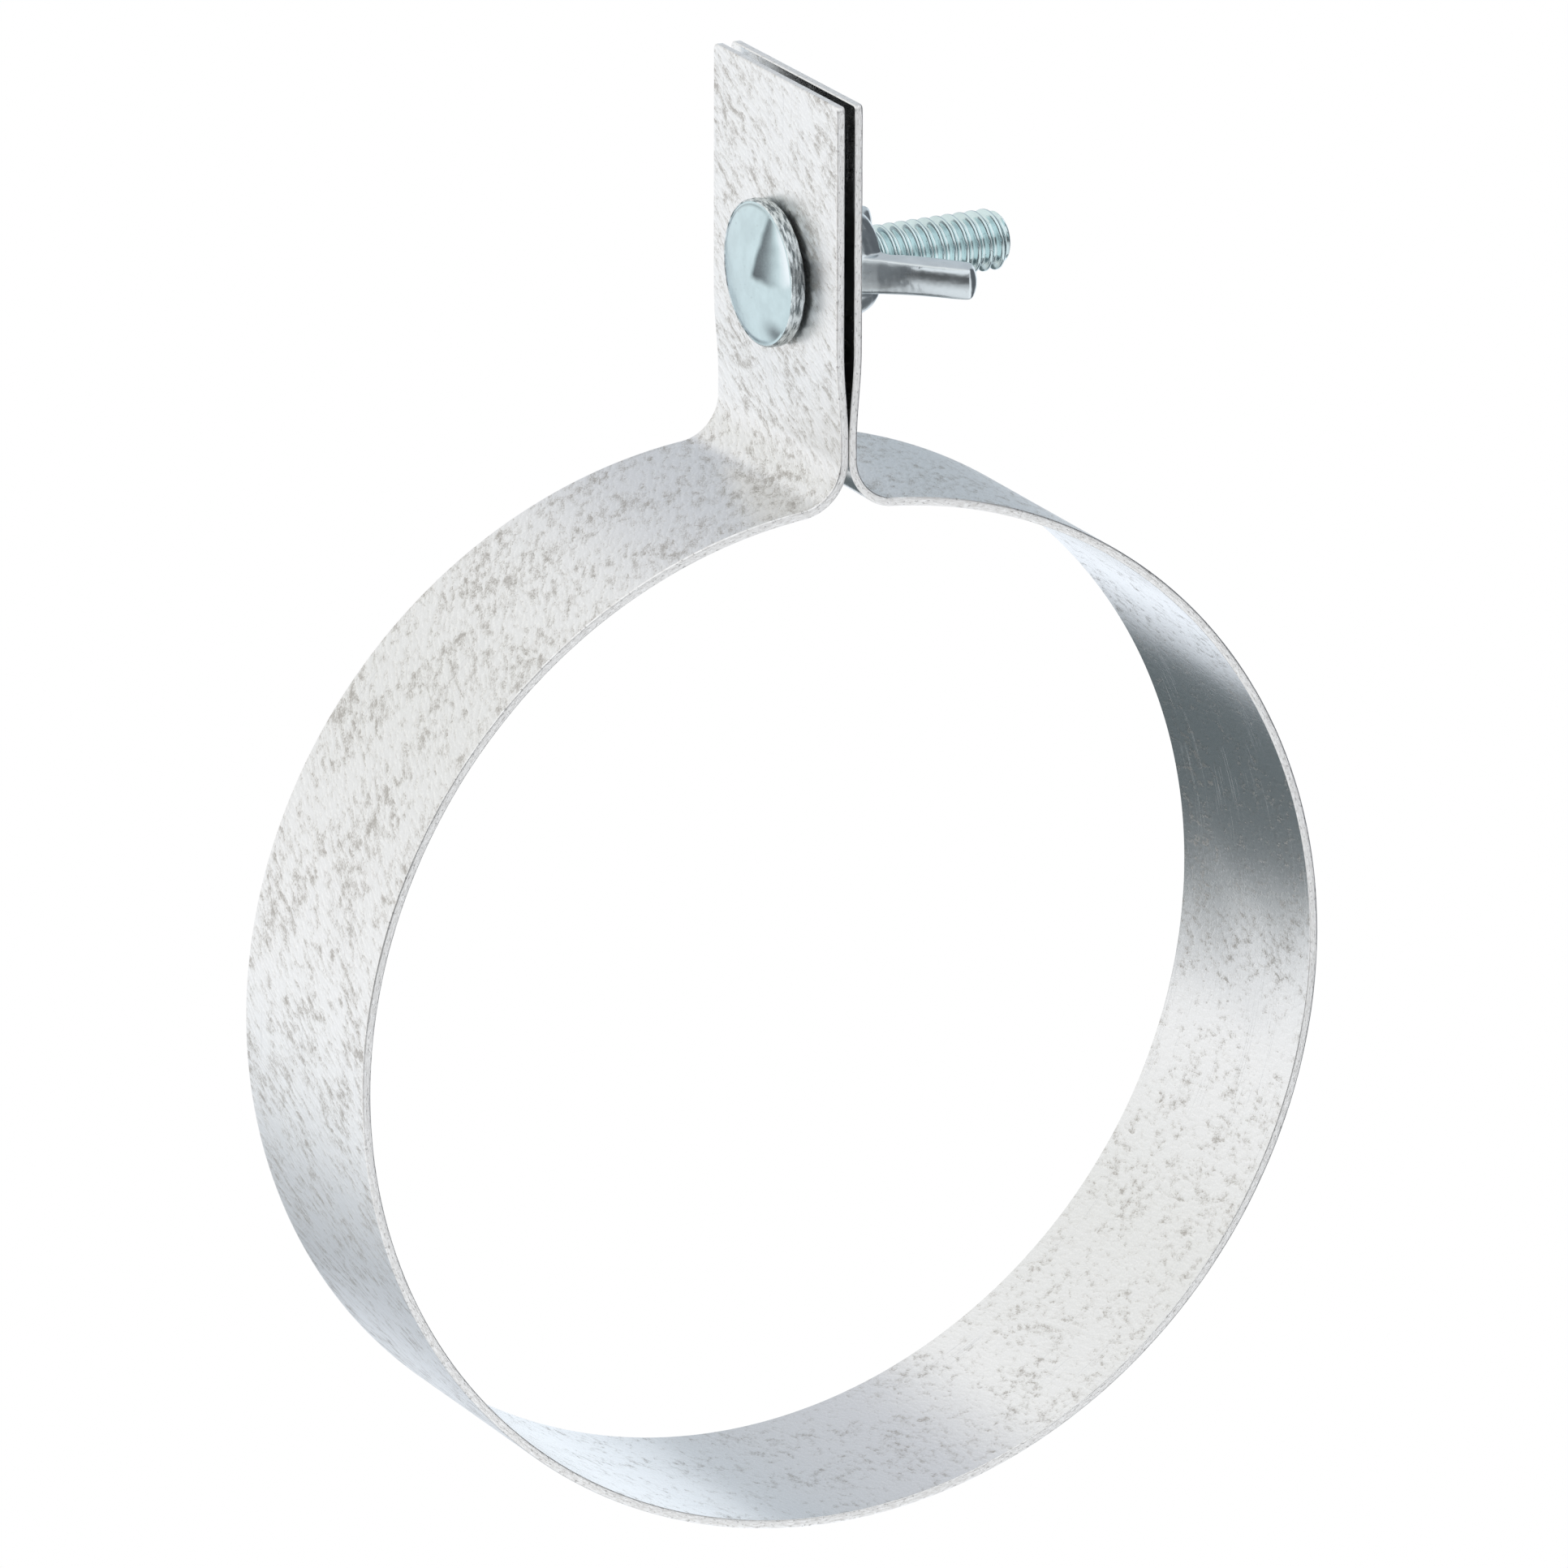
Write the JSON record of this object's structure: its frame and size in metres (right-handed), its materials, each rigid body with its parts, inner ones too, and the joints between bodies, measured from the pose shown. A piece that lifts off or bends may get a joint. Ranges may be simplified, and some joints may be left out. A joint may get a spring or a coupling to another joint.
{
  "type": "hose clamp",
  "caption": "Round sheet-steel strap clamp with upright ears, drawn shut by a carriage bolt and a wing nut.",
  "frame": {"origin": "centre of the hoop, on the hose's axis, halfway along the strap's width", "axes": "+Y along the hose's axis, +Z from the hoop's centre up through the ears, +X along the bolt from its head towards the wing nut"},
  "size_m": [0.1032, 0.0272, 0.1422],
  "materials": {
    "galvanised_steel": "hot-dip galvanised sheet, pale grey with darker flecks",
    "bright_zinc": "bright zinc plate with a cool blue tint"
  },
  "bodies": {
    "nut_side": {"strap_nut_side": "galvanised_steel"},
    "head_side": {"strap_bolt_side": "galvanised_steel"},
    "bolt": {"carriage_bolt": "bright_zinc"},
    "nut": {"wing_nut": "bright_zinc"}
  },
  "joints": [
    {"name": "wing_nut_turn", "type": "hinge", "parent": "nut_side", "child": "nut", "pos_m": [0.00168, 0, 0.0713], "axis": [1, 0, 0], "range_deg": [0, 1710]},
    {"name": "strap_flex", "type": "hinge", "parent": "nut_side", "child": "head_side", "pos_m": [0, 0, -0.05122], "axis": [0, -1, 0], "range_deg": [0, 2.85]},
    {"name": "bolt_rock", "type": "hinge", "parent": "head_side", "child": "bolt", "pos_m": [-0.00095, 0, 0.0713], "axis": [0, 1, 0], "range_deg": [0, 2.85]}
  ],
  "couplings": [
    {"joint": "strap_flex", "follows": "wing_nut_turn", "ratio": 0.0016497},
    {"joint": "bolt_rock", "follows": "wing_nut_turn", "ratio": 0.0016497}
  ]
}
